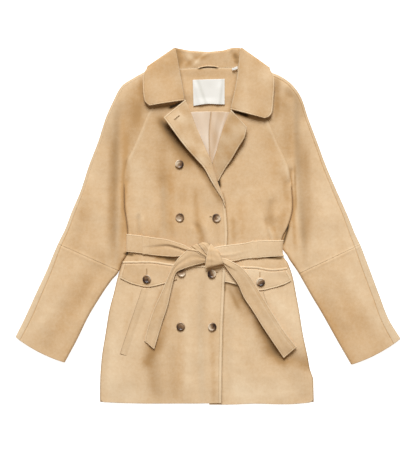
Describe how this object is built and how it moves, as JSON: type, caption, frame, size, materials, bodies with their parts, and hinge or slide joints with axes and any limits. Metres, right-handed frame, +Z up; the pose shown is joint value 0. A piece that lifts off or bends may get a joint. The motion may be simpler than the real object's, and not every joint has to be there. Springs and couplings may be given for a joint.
{
  "type": "suede trench coat laid out flat",
  "caption": "Short double-breasted suede trench coat with a tied belt, laid out flat and face up: raglan sleeves, wide lapels, pocket flaps, horn buttons.",
  "frame": {"origin": "on the surface that the coat lies on, under the middle of the back, at the mount back_rest", "axes": "+Z up, away from the surface; +X from the wearer's right sleeve to the left one; +Y from the hem to the collar"},
  "size_m": [0.904, 0.8349, 0.027],
  "materials": {
    "suede": "matte suede with a short brushed nap",
    "lining_satin": "satin weave, soft sheen",
    "label_satin": "white satin ribbon",
    "horn": "polished horn, brown with pale streaks"
  },
  "bodies": {
    "root": {"back": "suede", "bodice_right": "suede", "bodice_left": "suede", "skirt_right": "suede", "skirt_left": "suede", "lapel_right": "suede", "lapel_left": "suede", "collar_leaf": "suede", "collar_stand": "suede", "neck_facing": "suede", "back_lining": "lining_satin", "label": "label_satin", "size_tab": "label_satin", "hanging_loop": "suede", "sleeve_right_front_upper": "suede", "sleeve_right_front_lower": "suede", "sleeve_right_back_upper": "suede", "sleeve_right_back_lower": "suede", "sleeve_left_front_upper": "suede", "sleeve_left_front_lower": "suede", "sleeve_left_back_upper": "suede", "sleeve_left_back_lower": "suede", "belt_side_right": "suede", "belt_side_left": "suede", "belt_back": "suede", "belt_knot_core": "suede", "belt_knot_wrap": "suede", "belt_tail_right": "suede", "belt_tail_left": "suede", "belt_loop_right": "suede", "belt_loop_left": "suede", "pocket_flap_right": "suede", "pocket_flap_left": "suede", "pocket_welt_right": "suede", "pocket_welt_left": "suede", "waist_piping_right": "suede", "waist_piping_left": "suede", "button_lapel": "horn", "button_waist_right": "horn", "button_waist_left": "horn", "button_hip_right": "horn", "button_hip_left": "horn", "button_low_right": "horn", "button_low_left": "horn", "button_flap_right": "horn", "button_flap_left": "horn"}
  },
  "joints": []
}
